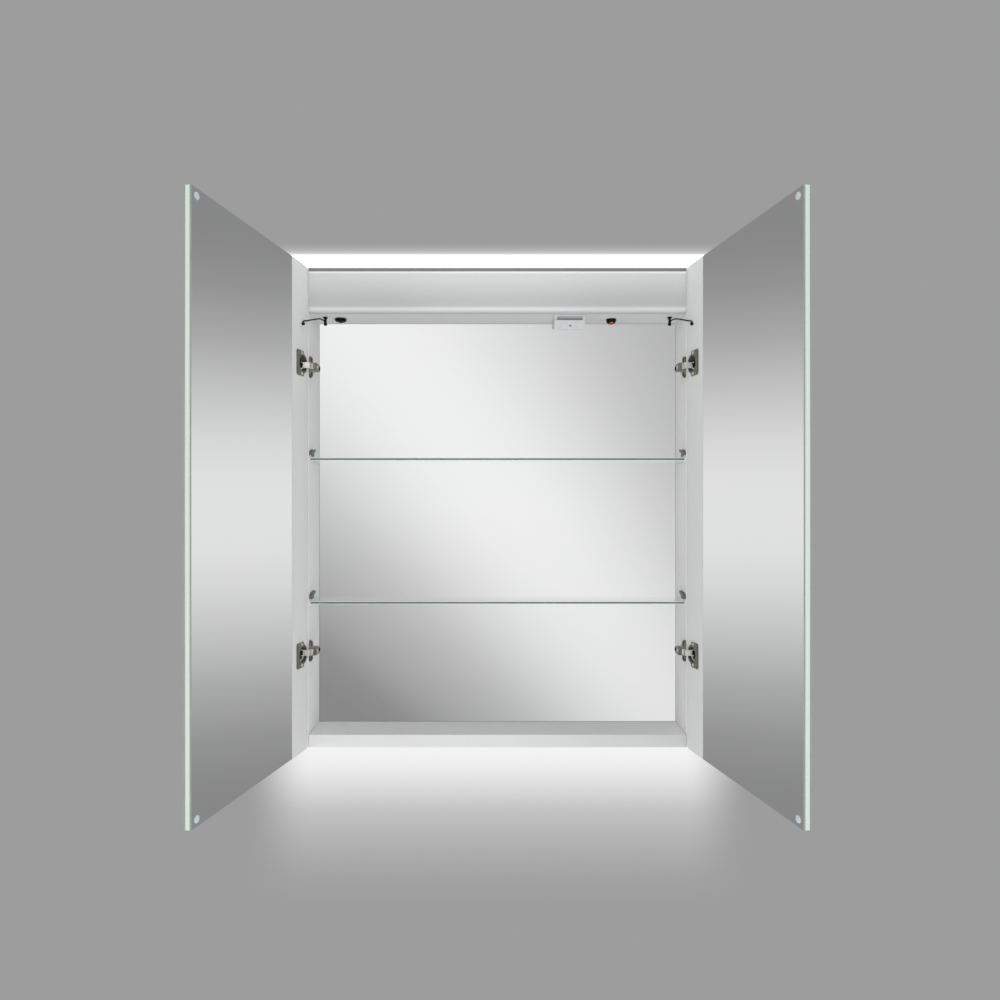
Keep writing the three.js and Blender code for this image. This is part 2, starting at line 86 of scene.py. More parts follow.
# ---------- places taken from the frame
PANEL_LOW, PANEL_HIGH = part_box("left_side_panel")
INNER_X = -PANEL_HIGH.x
BODY_FRONT = PANEL_LOW.y
CEILING_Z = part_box("head_ceiling")[0].z
CEILING_SEAT = CEILING_Z - 0.3 * MM
LEFT_JOINT = next(joint for joint in frame["joints"] if joint["child"] == "left_door")
OPEN_ANGLE = math.radians(LEFT_JOINT["range_deg"][1])
PIVOT = Vector(LEFT_JOINT["pos_m"])
DOOR_GAP = 2.5 * MM
DOOR_FACE_Y = BODY_FRONT - DOOR_GAP
HINGE_ZS = {
    level: sum(corner.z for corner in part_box(f"left_{level}_hinge_arm")) / 2 for level in LEVELS
}


def door_matrix():
    """The open left door's own axes: x along the door, y out of its inner face, z up."""
    turn = Matrix.Rotation(-OPEN_ANGLE, 4, "Z")
    return Matrix.Translation((-INNER_X, DOOR_FACE_Y, 0)) @ turn


DOOR = door_matrix()
DOOR_NORMAL = (DOOR.to_3x3() @ Vector((0, 1, 0))).normalized()
DOOR_NORMALS = {"left": tuple(DOOR_NORMAL), "right": (-DOOR_NORMAL.x, DOOR_NORMAL.y, 0)}


def put_in_scene(obj):
    bpy.context.scene.collection.objects.link(obj)


# ---------- camera
LENS = 27.43
CAMERA_DISTANCE = 1.141


def add_camera():
    """Straight on, level with the middle of the cabinet, at the distance the open doors imply."""
    data = bpy.data.cameras.new("camera")
    data.sensor_width = 36
    data.lens = LENS
    data.shift_x = 0.0025
    data.shift_y = 0.0075
    data.clip_start = 0.05
    camera = bpy.data.objects.new("camera", data)
    camera.location = (0, DOOR_FACE_Y - CAMERA_DISTANCE, 0)
    camera.rotation_euler = (math.pi / 2, 0, 0)
    put_in_scene(camera)
    bpy.context.scene.camera = camera


# ---------- material helpers
class Shader:
    """A node material with one Principled shader and short calls for its textures."""

    def __init__(self, name, color=(0.8, 0.8, 0.8), roughness=0.5, metallic=0.0):
        self.material = bpy.data.materials.new(name)
        self.material.use_nodes = True
        self.tree = self.material.node_tree
        self.bsdf = self.tree.nodes["Principled BSDF"]
        self.set("Base Color", (*color, 1))
        self.set("Roughness", roughness)
        self.set("Metallic", metallic)

    def set(self, socket, value):
        self.bsdf.inputs[socket].default_value = value

    def node(self, kind, **settings):
        made = self.tree.nodes.new(kind)
        for key, value in settings.items():
            setattr(made, key, value)
        return made

    def link(self, source, target):
        """Joins a socket to another, or to the shader's own socket of that name."""
        if isinstance(target, str):
            target = self.bsdf.inputs[target]
        self.tree.links.new(source, target)

    def value(self, operation, first, second=None):
        made = self.node("ShaderNodeMath", operation=operation)
        for index, item in enumerate((first, second)):
            if isinstance(item, (int, float)):
                made.inputs[index].default_value = item
            elif item is not None:
                self.link(item, made.inputs[index])
        return made.outputs[0]

    def coordinates(self, stretch=(1, 1, 1)):
        """The piece's own coordinates in metres, so a texture stays put as the piece moves."""
        place = self.node("ShaderNodeTexCoord").outputs["Object"]
        mapping = self.node("ShaderNodeMapping")
        mapping.inputs["Scale"].default_value = stretch
        self.link(place, mapping.inputs["Vector"])
        return mapping.outputs["Vector"]

    def noise(self, scale, detail=3.0, stretch=(1, 1, 1)):
        made = self.node("ShaderNodeTexNoise")
        made.inputs["Scale"].default_value = scale
        made.inputs["Detail"].default_value = detail
        self.link(self.coordinates(stretch), made.inputs["Vector"])
        return made.outputs["Fac"]

    def ramp(self, factor, stops):
        """Colours over a factor from 0 to 1; stops are (place, colour)."""
        made = self.node("ShaderNodeValToRGB")
        elements = made.color_ramp.elements
        while len(elements) < len(stops):
            elements.new(1.0)
        for element, (place, color) in zip(elements, stops):
            element.position = place
            element.color = (*color, 1)
        self.link(factor, made.inputs["Fac"])
        return made.outputs["Color"]

    def mottle(self, color, spread, scale, stretch=(1, 1, 1)):
        """Base colour that drifts a little to either side of color."""
        dark = tuple(channel * (1 - spread) for channel in color)
        light = tuple(min(1, channel * (1 + spread)) for channel in color)
        self.link(self.ramp(self.noise(scale, 4, stretch), [(0.3, dark), (0.7, light)]),
                  "Base Color")

    def vary_roughness(self, low, high, scale, stretch=(1, 1, 1)):
        self.link(self.between(self.noise(scale, 4, stretch), low, high), "Roughness")

    def bump(self, height, distance, strength=0.5):
        made = self.node("ShaderNodeBump")
        made.inputs["Strength"].default_value = strength
        made.inputs["Distance"].default_value = distance
        self.link(height, made.inputs["Height"])
        self.link(made.outputs["Normal"], "Normal")

    def separate(self, coordinates):
        """One kind of texture coordinates as separate x, y and z."""
        split = self.node("ShaderNodeSeparateXYZ")
        self.link(self.node("ShaderNodeTexCoord").outputs[coordinates], split.inputs[0])
        return split.outputs

    def own_normal(self):
        """The surface's direction in the piece's own axes."""
        return self.separate("Normal")

    def own_place(self):
        """The place in the piece's own axes."""
        return self.separate("Object")

    def share(self, place, low, high):
        """How far place has come on its way from low to high, as 0 to 1."""
        return self.value("DIVIDE", self.value("SUBTRACT", place, low), high - low)

    def facing(self, direction):
        """1 on faces square to direction, either way round, and 0 elsewhere."""
        normal = self.own_normal()
        terms = [self.value("MULTIPLY", normal[i], direction[i]) for i in range(3)]
        total = self.value("ADD", self.value("ADD", terms[0], terms[1]), terms[2])
        return self.value("GREATER_THAN", self.value("ABSOLUTE", total), 0.95)

    def mix(self, factor, first, second):
        """A colour between two colours or colour sockets."""
        made = self.node("ShaderNodeMix", data_type="RGBA")
        self.link(factor, made.inputs["Factor"])
        for name, item in (("A", first), ("B", second)):
            socket = next(s for s in made.inputs if s.name == name and s.type == "RGBA")
            if isinstance(item, tuple):
                socket.default_value = (*item, 1)
            else:
                self.link(item, socket)
        return next(s for s in made.outputs if s.type == "RGBA")

    def between(self, factor, low, high):
        made = self.node("ShaderNodeMapRange")
        made.inputs["To Min"].default_value = low
        made.inputs["To Max"].default_value = high
        self.link(factor, made.inputs["Value"])
        return made.outputs["Result"]


# ---------- materials
GLASS_GREEN = (0.26, 0.36, 0.3)
SHELF_ARRIS = 0.95 * MM
BOARD_GREY = (0.84, 0.843, 0.85)


def satin(shader, low, high):
    """A sheen that varies between two roughnesses over a fine orange-peel surface."""
    shader.vary_roughness(low, high, 60)
    shader.bump(shader.noise(900, 2), 0.02 * MM, 0.25)
    return shader.material


def lacquer(name, color=BOARD_GREY):
    """Sprayed satin lacquer with a faint drift in tone."""
    shader = Shader(name, color, 0.42)
    shader.mottle(color, 0.012, 14)
    return satin(shader, 0.37, 0.48)


def fascia_lacquer_painted_light():
    """The same lacquer with painted light: a painted highlight on both beads, and painted shade on its face
    that grows paler towards its top, as the light above would leave it.
    """
    shader = Shader("fascia_lacquer_painted_light", BOARD_GREY, 0.38)
    low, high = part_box("head_fascia")
    share = shader.share(shader.own_place()[2], low.z, high.z)
    # painted highlight on both beads and painted shade on the face between them, set by height
    body = shader.ramp(share, [(place, (tone, tone * 1.004, tone * 1.01)) for place, tone in (
        (0.0, 0.68), (0.06, 0.85), (0.11, 0.87), (0.155, 0.64), (0.2, 0.6), (0.32, 0.61),
        (0.56, 0.68), (0.8, 0.75), (0.945, 0.77), (0.958, 0.98), (1.0, 0.98),
    )])
    shader.link(body, "Base Color")
    return satin(shader, 0.33, 0.44)


def bottom_lacquer_painted_light():
    """The same lacquer on the bottom panel with painted light: paler towards its left end and on its level
    faces.
    """
    shader = Shader("bottom_lacquer_painted_light", BOARD_GREY, 0.42)
    low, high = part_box("bottom_panel")
    share = shader.share(shader.own_place()[0], low.x, high.x)
    # painted shade that deepens towards the right end, and painted light on the level faces
    edges = shader.ramp(share, [(0.0, (0.84, 0.842, 0.846)), (1.0, (0.64, 0.642, 0.648))])
    shader.link(shader.mix(shader.facing((0, 0, 1)), edges, (0.95, 0.952, 0.956)), "Base Color")
    return satin(shader, 0.37, 0.48)


def silvered_glass(name, direction, strength=0.9):
    """Mirror on the faces square to direction, polished green glass on the narrow edges."""
    shader = Shader(name, (strength,) * 3, 0.02, 1.0)
    face = shader.facing(direction)
    silver = shader.ramp(shader.noise(3, 2), [
        (0.3, (strength * 0.985, strength, strength * 0.995)),
        (0.7, (strength, strength, strength)),
    ])
    edge = shader.ramp(shader.noise(40, 3), [
        (0.3, tuple(0.9 * channel for channel in GLASS_GREEN)), (0.7, GLASS_GREEN),
    ])
    shader.link(shader.mix(face, edge, silver), "Base Color")
    shader.link(shader.between(face, 0.0, 1.0), "Metallic")
    shader.link(shader.between(face, 0.18, 0.015), "Roughness")
    return shader.material


def shelf_glass():
    """Clear glass: open on its faces, deep green along its front edge, and a painted highlight on the
    arrises.
    """
    shader = Shader("shelf_glass", (0.8, 0.9, 0.86), 0.04)
    value = shader.value
    tilt = value("ABSOLUTE", shader.own_normal()[2])
    low_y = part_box("upper_shelf")[0].y
    forward = value("LESS_THAN", shader.own_place()[1], low_y + SHELF_ARRIS + 0.05 * MM)
    upright = value("LESS_THAN", tilt, 0.3)
    level = value("GREATER_THAN", tilt, 0.9)
    edge = value("MULTIPLY", forward, upright)
    slanted = value("SUBTRACT", 1.0, value("ADD", upright, level))
    # painted highlight: the front arrises are near white and almost opaque
    arris_highlight = value("MULTIPLY", forward, slanted)
    color = shader.mix(arris_highlight, shader.mix(edge, (0.86, 0.88, 0.87), (0.045, 0.115, 0.08)),
                       (0.97, 0.98, 0.97))
    shader.link(color, "Base Color")
    faces = value("MULTIPLY", level, shader.between(shader.noise(6, 3), 0.14, 0.2))
    solid = value("ADD", value("MULTIPLY", edge, 0.97), value("MULTIPLY", arris_highlight, 0.85))
    veil = value("MAXIMUM", faces, 0.03)
    shader.link(value("MAXIMUM", veil, solid), "Alpha")
    shader.material.blend_method = "BLEND"
    return shader.material


def support_plastic(level):
    """The moulded clamp above the shelf is dark grey, and the carrier below it is pale."""
    shader = Shader(f"{level}_support", (0.15, 0.15, 0.152), 0.45)
    clamp_rise = 2.6 * MM
    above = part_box(f"{level}_shelf")[1].z + clamp_rise
    clamp = shader.value("GREATER_THAN", shader.own_place()[2], above)
    grain = shader.noise(2200, 2)
    dark = shader.ramp(grain, [(0.3, (0.12, 0.12, 0.122)), (0.7, (0.15, 0.15, 0.152))])
    shader.link(shader.mix(clamp, (0.82, 0.822, 0.826), dark), "Base Color")
    shader.vary_roughness(0.4, 0.52, 300)
    shader.bump(grain, 0.02 * MM, 0.35)
    return shader.material


def slot_shade_sheet():
    """A grey sheet behind the finger slot that stands in for the slot's shade: painted shade, deeper towards
    its foot.
    """
    shader = Shader("slot_shade_sheet", (0.3, 0.3, 0.305), 0.5)
    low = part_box("socket_housing")[0].z
    slot_high = 5.3 * MM
    share = shader.value("DIVIDE", shader.value("SUBTRACT", shader.own_place()[2], low), slot_high)
    shader.link(shader.ramp(share, [(0.35, (0.27, 0.27, 0.28)), (0.6, (0.46, 0.46, 0.47))]),
                "Base Color")
    shader.bump(shader.noise(2200, 2), 0.02 * MM, 0.3)
    return shader.material


def core_edge(side, direction):
    """The plain painted strip beside the hinges, and the core's slightly darker cut edges."""
    strip, cut_edge = (0.74, 0.745, 0.745), (0.64, 0.646, 0.643)
    shader = Shader(f"{side}_door_core", strip, 0.4)
    grain = shader.noise(25, 4)
    painted = shader.ramp(grain, [(0.3, tuple(0.985 * tone for tone in strip)), (0.7, strip)])
    shader.link(shader.mix(shader.facing(direction), cut_edge, painted), "Base Color")
    shader.vary_roughness(0.34, 0.46, 80)
    shader.bump(shader.noise(1200, 2), 0.015 * MM, 0.25)
    return shader.material


def opal(name, strength):
    """Lit opal acrylic whose brightness drifts a little along its length."""
    shader = Shader(name, (0.93, 0.94, 0.96), 0.45)
    shader.mottle((0.93, 0.94, 0.96), 0.01, 30)
    shader.set("Emission Color", (0.96, 0.985, 1.0, 1))
    shader.link(shader.between(shader.noise(20, 2, (1, 0.2, 0.2)), strength * 0.94, strength),
                "Emission Strength")
    return shader.material


def nickel(name, color, roughness, spread=0.1):
    """Nickel plate over pressed steel: fine drawn lines and darker, duller patches."""
    shader = Shader(name, color, roughness, 1.0)
    shader.mottle(color, spread, 260, (1, 1, 0.4))
    shader.vary_roughness(roughness - 0.07, roughness + 0.1, 500, (1, 1, 6))
    shader.bump(shader.noise(1500, 3, (1, 1, 8)), 0.03 * MM, 0.3)
    return shader.material


def cup_inside_shade(level):
    """Inside of a hinge cup, in painted shade: black where its pivot links fold away, dark nickel above and
    below.
    """
    shader = Shader(f"{level}_cup_inside_shade", (0.1, 0.098, 0.085), 0.55)
    shader.set("Specular IOR Level", 0.1)
    links_half = 6.4 * MM
    height = shader.value("SUBTRACT", shader.own_place()[2], HINGE_ZS[level])
    beyond = shader.value("GREATER_THAN", shader.value("ABSOLUTE", height), links_half)
    dull = shader.ramp(shader.noise(300), [(0.3, (0.09, 0.088, 0.076)), (0.7, (0.13, 0.127, 0.11))])
    # painted shade: near black in the middle, dark nickel above and below
    shader.link(shader.mix(beyond, (0.003, 0.003, 0.003), dull), "Base Color")
    shader.bump(shader.noise(1500), 0.03 * MM, 0.3)
    return shader.material


def moulded(name, color, roughness, specular=0.5):
    """Moulded plastic or rubber with a fine grain."""
    shader = Shader(name, color, roughness)
    shader.set("Specular IOR Level", specular)
    shader.mottle(color, 0.05, 120)
    shader.vary_roughness(roughness - 0.06, roughness + 0.08, 300)
    shader.bump(shader.noise(2200, 2), 0.02 * MM, 0.35)
    return shader.material


def frosted_bumper():
    shader = Shader("frosted_bumper", (0.62, 0.64, 0.64), 0.35)
    shader.mottle((0.62, 0.64, 0.64), 0.05, 300)
    shader.set("Subsurface Weight", 0.2)
    shader.bump(shader.noise(1800, 2), 0.02 * MM, 0.3)
    return shader.material


def red_lens():
    """Red window with an emitted glow, brightest in a small spot a little below its middle."""
    shader = Shader("red_lens", (0.2, 0.008, 0.012), 0.12)
    low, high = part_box("motion_sensor_lens")
    middle = (low + high) / 2
    place = shader.own_place()
    spot_drop = 0.8 * MM
    spot = (middle.x, middle.y, middle.z - spot_drop)
    across = [shader.value("SUBTRACT", place[i], spot[i]) for i in (0, 2)]
    squares = [shader.value("MULTIPLY", item, item) for item in across]
    far = shader.value("SQRT", shader.value("ADD", *squares))
    share = shader.value("DIVIDE", far, (high.x - low.x) / 2)
    glow = shader.ramp(share, [(0.0, (1.0, 0.34, 0.3)), (0.3, (0.5, 0.05, 0.06)),
                               (0.8, (0.14, 0.0, 0.01))])
    shader.link(glow, "Emission Color")
    shader.set("Emission Strength", 0.75)
    return shader.material


def circuit_board():
    """White circuit board with a row of warm lamps."""
    shader = Shader("circuit_board", (0.9, 0.9, 0.87), 0.4)
    place = shader.own_place()
    pitch, lamp_half = 12 * MM, 1.6 * MM
    phase = shader.value("PINGPONG", place[0], pitch / 2)
    lamp = shader.value("LESS_THAN", phase, lamp_half)
    shader.link(shader.mix(lamp, (0.88, 0.88, 0.86), (0.95, 0.78, 0.3)), "Base Color")
    return shader.material


def anodised():
    shader = Shader("anodised", (0.62, 0.63, 0.64), 0.34, 1.0)
    shader.mottle((0.62, 0.63, 0.64), 0.03, 400, (0.05, 1, 1))
    shader.vary_roughness(0.28, 0.4, 900, (0.03, 1, 1))
    shader.bump(shader.noise(2500, 2, (0.03, 1, 1)), 0.02 * MM, 0.3)
    return shader.material


def hardboard():
    """Pressed fibre board with a thin pale coat: short fibres show through."""
    shader = Shader("hardboard", (0.6, 0.6, 0.585), 0.75)
    shader.mottle((0.6, 0.6, 0.585), 0.06, 180, (1, 1, 0.35))
    shader.vary_roughness(0.66, 0.84, 220)
    shader.bump(shader.noise(700, 5, (1, 1, 0.5)), 0.08 * MM, 0.4)
    return shader.material


MATERIALS = {
    "board": lacquer("board_lacquer"),
    # painted light: the ceiling takes the board lacquer in a paler tone, standing in for light that does not
    # reach it
    "ceiling": lacquer("ceiling_lacquer_painted_light", (0.93, 0.932, 0.936)),
    "bottom_board": bottom_lacquer_painted_light(),
    "fascia": fascia_lacquer_painted_light(),
    **{
        f"{side}_mirror": silvered_glass(f"{side}_door_mirror", DOOR_NORMALS[side])
        for side in SIDES
    },
    "back_mirror": silvered_glass("back_mirror", (0, 1, 0)),
    "shelf": shelf_glass(),
    **{f"{side}_core": core_edge(side, DOOR_NORMALS[side]) for side in SIDES},
    "top_opal": opal("top_opal", 1.35),
    "bottom_opal": opal("bottom_opal", 4.0),
    # one nickel plating in three tones set per part: painted light on the pale one, painted shade on the mid
    # and dark ones
    "nickel": nickel("nickel", (0.22, 0.216, 0.19), 0.3, 0.25),
    "nickel_painted_light": nickel("nickel_painted_light", (0.85, 0.84, 0.81), 0.3),
    "nickel_painted_shade": nickel("nickel_painted_shade", (0.1, 0.098, 0.085), 0.4, 0.2),
    # painted shade: near black for plated hinge parts that sit in shade
    "well": moulded("shade_painted_black", (0.003, 0.003, 0.003), 0.7, 0.1),
    **{f"{level}_cup_inside_shade": cup_inside_shade(level) for level in LEVELS},
    "zinc": nickel("zinc", (0.6, 0.61, 0.62), 0.45),
    "black": moulded("black_plastic", (0.004, 0.004, 0.005), 0.3, 0.2),
    "rubber": moulded("black_rubber", (0.006, 0.006, 0.006), 0.5, 0.2),
    **{f"{level}_support": support_plastic(level) for level in LEVELS},
    "slot_shade_sheet": slot_shade_sheet(),
    "white": moulded("pale_plastic", (0.74, 0.745, 0.755), 0.33),
    # painted shade: the dark grey of the strip in the slot above the fascia
    "gap_shade": moulded("slot_gap_shade", (0.26, 0.26, 0.265), 0.6, 0.2),
    "slate": moulded("recess_grey", (0.22, 0.22, 0.225), 0.45),
    "bumper": frosted_bumper(),
    "lens": red_lens(),
    "circuit": circuit_board(),
    "anodised": anodised(),
    "hardboard": hardboard(),
}


# ---------- mesh helpers
def finish_mesh(bm, name, finish, smooth_angle=35):
    """A new object from a bmesh, welded, facing out, and smooth below smooth_angle."""
    bmesh.ops.remove_doubles(bm, verts=bm.verts, dist=0.002 * MM)
    bmesh.ops.recalc_face_normals(bm, faces=bm.faces)
    mesh = bpy.data.meshes.new(name)
    bm.to_mesh(mesh)
    bm.free()
    for polygon in mesh.polygons:
        polygon.use_smooth = True
    mesh.set_sharp_from_angle(angle=math.radians(smooth_angle))
    mesh.materials.append(MATERIALS[finish])
    piece = bpy.data.objects.new(name, mesh)
    put_in_scene(piece)
    return piece


def add_piece(bm, name, finish, body, slot, *replaced, smooth_angle=35):
    """A finished mesh that rides a body and stands in for the replaced nodes, if any."""
    piece = finish_mesh(bm, name, finish, smooth_angle)
    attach(piece, body)
    if replaced:
        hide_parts(*replaced)


def bevelled(bm, width, segments=2, angle=30):
    """Rounds every edge sharper than angle."""
    limit = math.radians(angle)
    edges = [e for e in bm.edges if len(e.link_faces) == 2 and e.calc_face_angle(0) > limit]
    bmesh.ops.bevel(bm, geom=edges, offset=width, offset_type="OFFSET", segments=segments,
                    profile=0.6, affect="EDGES", clamp_overlap=True)


def refined(node, finish, width, segments=2):
    """A copy of a CAD node with its edges eased, standing in the node's place."""
    bm = bmesh.new()
    bm.from_mesh(NODES[node].data)
    bmesh.ops.remove_doubles(bm, verts=bm.verts, dist=0.001 * MM)
    bmesh.ops.dissolve_limit(bm, angle_limit=math.radians(1), verts=bm.verts, edges=bm.edges)
    bevelled(bm, width, segments)
    add_piece(bm, f"{node}_eased", finish, BODY_OF[node], SLOT_OF[node], node, smooth_angle=20)


def dress(node, finish):
    """Gives a CAD node that keeps its shape its material."""
    NODES[node].data.materials.clear()
    NODES[node].data.materials.append(MATERIALS[finish])


def prism(outline, low, high, matrix, width=0.0, segments=2):
    """A straight-sided solid on an outline of (x, y) points, from low to high along z."""
    bm = bmesh.new()
    rings = [[bm.verts.new(matrix @ Vector((x, y, z))) for x, y in outline] for z in (low, high)]
    join_rings(bm, *rings)
    flat = [Vector((x, y, 0)) for x, y in outline]
    for triangle in tessellate_polygon([flat]):
        for ring in rings:
            bm.faces.new([ring[i] for i in triangle])
    if width:
        bmesh.ops.dissolve_limit(bm, angle_limit=math.radians(1), verts=bm.verts, edges=bm.edges)
        bevelled(bm, width, segments, 50)
    return bm


def in_mm(*points):
    """Points of two numbers, given in millimetres."""
    return [(first * MM, second * MM) for first, second in points]


def around(steps):
    """The angles of a full turn in equal steps."""
    return [2 * math.pi * i / steps for i in range(steps)]


def join_rings(bm, lower, upper):
    """Faces between two rings of points; where points coincide a face has three corners."""
    count = len(lower)
    for i in range(count):
        j = (i + 1) % count
        corners = list(dict.fromkeys((lower[i], lower[j], upper[j], upper[i])))
        if len(corners) > 2:
            bm.faces.new(corners)


def lathe(profile, matrix, steps=40):
    """A turned shape about z from (radius, height) points; a radius of 0 closes an end."""
    bm = bmesh.new()
    rings = []
    for radius, height in profile:
        if radius == 0:
            rings.append([bm.verts.new(matrix @ Vector((0, 0, height)))] * steps)
            continue
        rings.append([
            bm.verts.new(matrix @ Vector((radius * math.cos(a), radius * math.sin(a), height)))
            for a in around(steps)
        ])
    for lower, upper in zip(rings, rings[1:]):
        join_rings(bm, lower, upper)
    return bm


def arc(center, radius, start, end, steps=6):
    """Points on an arc, angles in degrees."""
    angles = [math.radians(start + (end - start) * i / steps) for i in range(steps + 1)]
    return [(center[0] + radius * math.cos(a), center[1] + radius * math.sin(a)) for a in angles]


def rounded_rectangle(x0, x1, y0, y1, radius, steps=5):
    return (arc((x1 - radius, y0 + radius), radius, -90, 0, steps)
            + arc((x1 - radius, y1 - radius), radius, 0, 90, steps)
            + arc((x0 + radius, y1 - radius), radius, 90, 180, steps)
            + arc((x0 + radius, y0 + radius), radius, 180, 270, steps))


def along(axis, place):
    """A matrix whose z axis points along axis, at place."""
    turn = Vector(axis).to_track_quat("Z", "Y").to_matrix().to_4x4()
    return Matrix.Translation(Vector(place)) @ turn


def both_sides(make, name, finish, body, slot, node=None):
    """The left piece and its mirror image on the right. Names hold {side}, and so may body and node."""
    for side, sign in (("left", 1), ("right", -1)):
        bm = make()
        if sign < 0:
            bmesh.ops.scale(bm, vec=(-1, 1, 1), verts=bm.verts)
        replaced = [node.format(side=side)] if node else []
        add_piece(bm, name.format(side=side), finish, body.format(side=side), slot, *replaced)


def cross_screw(matrix, radius, height, arm=0.62, width=0.2, depth=0.55):
    """A domed screw head with a cross recess, its top facing z. arm, width and depth are shares."""
    bm = bmesh.new()
    turns = around(24)
    side = [(1.0, 0.0), (1.0, 0.35), (0.93, 0.7), (0.8, 0.9)]
    rings = [[bm.verts.new(matrix @ Vector((radius * r * math.cos(a), radius * r * math.sin(a),
                                            height * h))) for a in turns] for r, h in side]
    for lower, upper in zip(rings, rings[1:]):
        join_rings(bm, lower, upper)
    bm.faces.new(rings[0])
    a, b = arm * radius, width * radius / 2
    cross = [(a, -b), (a, b), (b, b), (b, a), (-b, a), (-b, b), (-a, b), (-a, -b), (-b, -b),
             (-b, -a), (b, -a), (b, -b)]
    mouth = [bm.verts.new(matrix @ Vector((x, y, height))) for x, y in cross]
    floor = [bm.verts.new(matrix @ Vector((x, y, height * (1 - depth)))) for x, y in cross]
    top = radius * side[-1][0]
    flat_ring = [Vector((top * math.cos(t), top * math.sin(t), 0)) for t in turns]
    flat_cross = [Vector((x, y, 0)) for x, y in cross]
    verts = rings[-1] + mouth[::-1]
    for triangle in tessellate_polygon([flat_ring, flat_cross[::-1]]):
        bm.faces.new([verts[i] for i in triangle])
    join_rings(bm, mouth, floor)
    bm.faces.new(floor)
    return bm


def merged(*parts):
    """One bmesh that holds several."""
    base = bmesh.new()
    for part in parts:
        mesh = bpy.data.meshes.new("part")
        part.to_mesh(mesh)
        part.free()
        base.from_mesh(mesh)
        bpy.data.meshes.remove(mesh)
    return base


# ---------- body
def dress_body():
    for node in ("left_side_panel", "right_side_panel", "top_panel"):
        refined(node, "board", 0.6 * MM)
    refined("bottom_panel", "bottom_board", 0.6 * MM)
    add_slot_shade_strip()
    refined("head_fascia", "fascia", 0.3 * MM)
    dress("head_ceiling", "ceiling")
    refined("back_mirror", "back_mirror", 0.4 * MM)
    dress("rear_panel", "hardboard")
    refined("mirror_carrier_board", "hardboard", 0.3 * MM)
    for side in SIDES:
        refined(f"{side}_hanging_bracket", "zinc", 0.6 * MM)
    dress("mains_inlet_gland", "rubber")
    refined("led_driver", "white", 0.8 * MM)


def add_slot_shade_strip():
    """A dark grey strip in the slot between the fascia and the light above it: painted shade for that slot.
    """
    low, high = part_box("head_fascia")
    under_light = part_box("top_light_diffuser")[0].z
    section = rounded_rectangle(high.z + 0.1 * MM, under_light - 0.15 * MM,
                                low.y + 1.2 * MM, low.y + 7 * MM, 0.6 * MM, 3)
    turn = Matrix(((0, 0, 1, 0), (0, 1, 0, 0), (1, 0, 0, 0), (0, 0, 0, 1)))
    strip = prism(section, low.x + 0.2 * MM, high.x - 0.2 * MM, turn)
    add_piece(strip, "top_slot_shade_strip", "gap_shade", "cabinet", "black_rubber")


def add_rear_fixings():
    """Screws round the rear panel, all but flush with it."""
    low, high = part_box("rear_panel")
    inset = 9 * MM
    xs = (low.x + inset, low.x / 3, high.x / 3, high.x - inset)
    rows = [low.z + inset, high.z - inset]
    spots = [(x, z) for x in xs for z in rows]
    spots += [(x, z) for x in (xs[0], xs[-1]) for z in (low.z / 2, 0.0, high.z / 2)]
    head_radius, head_high = 3.4 * MM, 1.3 * MM
    proud = 0.05 * MM
    seat = high.y - head_high + proud
    heads = [cross_screw(along((0, 1, 0), (x, seat, z)), head_radius, head_high) for x, z in spots]
    add_piece(merged(*heads), "rear_panel_screws", "zinc", "cabinet", PLATED)


# ---------- lighting pieces
def dress_lights():
    refined("top_light_diffuser", "top_opal", 0.8 * MM)
    refined("bottom_light_diffuser", "bottom_opal", 0.3 * MM)
    for level in ("top", "bottom"):
        dress(f"{level}_light_channel", "anodised")
        dress(f"{level}_led_board", "circuit")


# ---------- shelves
def dress_shelves():
    for level in LEVELS:
        refined(f"{level}_shelf", "shelf", SHELF_ARRIS, 1)
        for side in SIDES:
            refined(f"{side}_{level}_shelf_support", f"{level}_support", 0.5 * MM, 3)


# ---------- doors
def dress_doors():
    for side in SIDES:
        refined(f"{side}_door_outer_mirror", f"{side}_mirror", 0.3 * MM)
        refined(f"{side}_door_inner_mirror", f"{side}_mirror", 0.3 * MM)
        dress(f"{side}_door_panel", f"{side}_core")


def add_bumpers():
    radius = 4.5 * MM
    wall, dome = 0.6, 1.2
    for level in LEVELS:
        low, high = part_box(f"left_{level}_door_bumper")
        middle = (low + high) / 2
        base = middle - DOOR_NORMAL * 1.0 * MM
        profile = [(0, 0), (radius, 0), (radius, wall * MM)]
        profile += [(radius * (0.78 + 0.22 * math.cos(math.radians(a))),
                     (wall + dome * math.sin(math.radians(a))) * MM) for a in range(15, 91, 15)]
        profile += in_mm((2, 1.95), (0, 2))
        both_sides(lambda: lathe(profile, along(DOOR_NORMAL, base), 48),
                   "{side}_" + level + "_bumper_dome", "bumper", "{side}_door",
                   "clear_bumper", "{side}_" + level + "_door_bumper")


# ---------- hinges
CUP_U = 18.3 * MM
CUP_INNER = 12.2 * MM
CUP_OUTER = 13 * MM
CUP_DEEP = 7.7 * MM
PLATE_FACE = 0.3 * MM
PLATE_THICK = 1.0 * MM
SLOT_HALF = 5 * MM
PLATE_ENDS = (16 * MM, 38 * MM)
PLATE_HALF = 18.5 * MM
PLATE_CORNER = 3 * MM
PLATE_RIM = 14.4 * MM
RIM_U = 22.5 * MM
RIM_RADIUS = 8.2 * MM
RIM_SUNK = 0.6 * MM
CUP_SCREW_U = 23 * MM
CUP_SCREW_OFF = 15.2 * MM
ARM_DEEP = 9.7 * MM
COVER_THICK = 3.7 * MM


def hinge_piece(level, part, make, finish, body="cabinet", node=None):
    """One plated piece of the left and right hinge on a level, standing in for a CAD node or none."""
    names = ["{side}_" + f"{level}_{word}" if word else None for word in (part, node)]
    both_sides(make, names[0], finish, body, PLATED, names[1])


